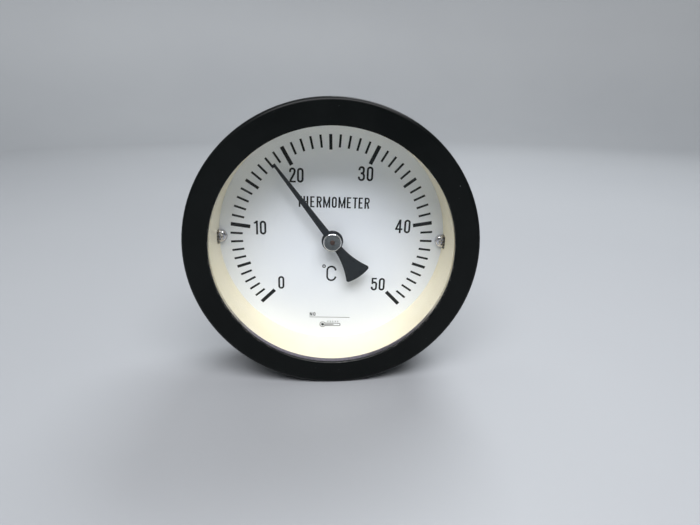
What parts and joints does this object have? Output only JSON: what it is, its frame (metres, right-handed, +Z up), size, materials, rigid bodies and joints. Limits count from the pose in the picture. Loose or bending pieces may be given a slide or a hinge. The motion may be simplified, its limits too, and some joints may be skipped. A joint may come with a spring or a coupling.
{
  "type": "wall dial thermometer",
  "caption": "Round wall-mounted bimetal dial thermometer, 0 to 50 degrees C: black bezel, deep ivory ring, white dial, black pointer that turns with the coil, zero adjuster at the back.",
  "frame": {"origin": "centre of the flat wall face at the back of the case, on the dial's axis", "axes": "+Z up the wall; the dial looks along -Y, away from the wall; +X to the right as the dial is read"},
  "size_m": [0.1118, 0.0414, 0.1118],
  "materials": {
    "black_paint": "satin black enamel",
    "ivory_paint": "semi-gloss ivory enamel",
    "window_glass": "clear flat glass",
    "dial_white": "satin white enamel with black print",
    "pointer_black": "matt black",
    "nickel": "bright nickel plate",
    "zinc_steel": "bright zinc plate",
    "black_screw": "black oxide",
    "brass": "turned and milled brass",
    "spindle_steel": "ground steel",
    "bimetal": "rolled two-metal strip",
    "rubber": "matt black rubber"
  },
  "bodies": {
    "case": {"case_pan": "black_paint", "bezel_ring": "black_paint", "bezel_screws": "black_screw", "bezel_nuts": "zinc_steel", "glass_gasket": "rubber", "window_glass": "window_glass", "trim_ring": "ivory_paint", "dial_plate": "dial_white", "dial_screws": "nickel", "dial_posts": "zinc_steel", "post_screws": "zinc_steel", "rear_plate": "brass", "pillars": "brass", "pillar_screws": "zinc_steel", "front_plate": "brass", "plate_screws": "zinc_steel", "front_bush": "brass", "friction_washer": "zinc_steel", "adjuster_plug": "rubber"},
    "adjuster": {"adjuster_hub": "brass", "retaining_clip": "zinc_steel", "anchor_arm": "spindle_steel", "anchor_post": "brass", "bimetal_coil": "bimetal"},
    "hand": {"spindle": "spindle_steel", "coil_collet": "brass", "pointer": "pointer_black", "pointer_boss": "nickel"}
  },
  "joints": [
    {"name": "zero_adjust", "type": "hinge", "parent": "case", "child": "adjuster", "pos_m": [0, 0, 0], "axis": [0, 1, 0], "range_deg": [-15, 15]},
    {"name": "pointer_turn", "type": "hinge", "parent": "adjuster", "child": "hand", "pos_m": [0, -0.0243, 0], "axis": [0, 1, 0], "range_deg": [-97.3, 172.7], "stiffness_Nm_per_rad": 0.0016, "deforming": ["bimetal_coil"]}
  ]
}
